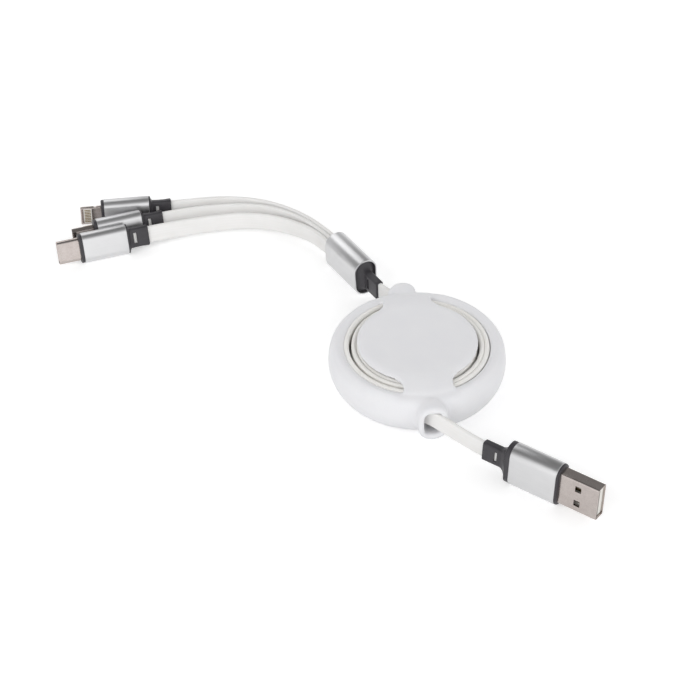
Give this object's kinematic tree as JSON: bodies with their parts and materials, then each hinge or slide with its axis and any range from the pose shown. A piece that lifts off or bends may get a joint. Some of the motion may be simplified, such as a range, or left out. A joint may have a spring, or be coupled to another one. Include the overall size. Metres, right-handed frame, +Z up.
{
  "type": "retractable multi-plug charging cable",
  "caption": "Round white spring reel with a flat cable: a rectangular plug pulls out at the front, a metal splitter with branch cables and small charging plugs at the back.",
  "frame": {"origin": "centre of the reel case's underside, on the floor", "axes": "+Z up along the spool's axis, +Y out of the collar toward the splitter, -Y out of the collar toward the single plug"},
  "size_m": [0.1623, 0.1784, 0.0196],
  "materials": {
    "case_shell": "soft-touch white",
    "spool_plastic": "plain white",
    "spring_steel": "bright",
    "cable_jacket": "satin white elastomer",
    "black_moulding": "satin black",
    "sleeve_aluminium": "satin anodised, brushed lengthwise",
    "plug_steel": "nickel plated",
    "white_insulator": "plain white",
    "black_insulator": "plain black",
    "contact_gold": "gold plated"
  },
  "bodies": {
    "case": {"lower_case": "case_shell", "upper_case": "case_shell", "ratchet_ball": "spring_steel", "spring": "spring_steel"},
    "reel": {"spool": "spool_plastic", "cable_coil": "cable_jacket"},
    "usb_end": {"usb_cable": "cable_jacket", "usb_moulding": "black_moulding", "usb_sleeve": "sleeve_aluminium", "usb_shell": "plug_steel", "usb_tongue": "white_insulator", "usb_contacts": "contact_gold"},
    "branch_end": {"tail_cable": "cable_jacket", "splitter_moulding": "black_moulding", "splitter_sleeve": "sleeve_aluminium", "oval_cable": "cable_jacket", "keystone_cable": "cable_jacket", "tab_cable": "cable_jacket", "oval_moulding": "black_moulding", "oval_sleeve": "sleeve_aluminium", "oval_shell": "plug_steel", "oval_insulator": "black_insulator", "oval_contacts": "contact_gold", "keystone_moulding": "black_moulding", "keystone_sleeve": "sleeve_aluminium", "keystone_shell": "plug_steel", "keystone_hooks": "plug_steel", "keystone_tongue": "black_insulator", "keystone_contacts": "contact_gold", "tab_moulding": "black_moulding", "tab_sleeve": "sleeve_aluminium", "tab_blade": "plug_steel", "tab_block": "white_insulator", "tab_contacts": "contact_gold"}
  },
  "joints": [
    {"name": "branch_pull", "type": "slide", "parent": "case", "child": "branch_end", "axis": [-0.3746, 0.9272, 0], "range_m": [0, 0.38], "stiffness_N_per_m": 2, "springref_m": -0.15, "deforming": ["tail_cable"]},
    {"name": "usb_pull", "type": "slide", "parent": "case", "child": "usb_end", "axis": [0.7314, -0.682, 0], "range_m": [0, 0.38], "deforming": ["usb_cable"]},
    {"name": "spool_spin", "type": "hinge", "parent": "case", "child": "reel", "pos_m": [0, 0, 0.0122], "axis": [0, 0, 1], "range_deg": [0, 1270], "deforming": ["spring"]}
  ],
  "couplings": [
    {"joint": "usb_pull", "follows": "branch_pull", "ratio": 1},
    {"joint": "spool_spin", "follows": "branch_pull", "rad_per_m": 58.1}
  ]
}
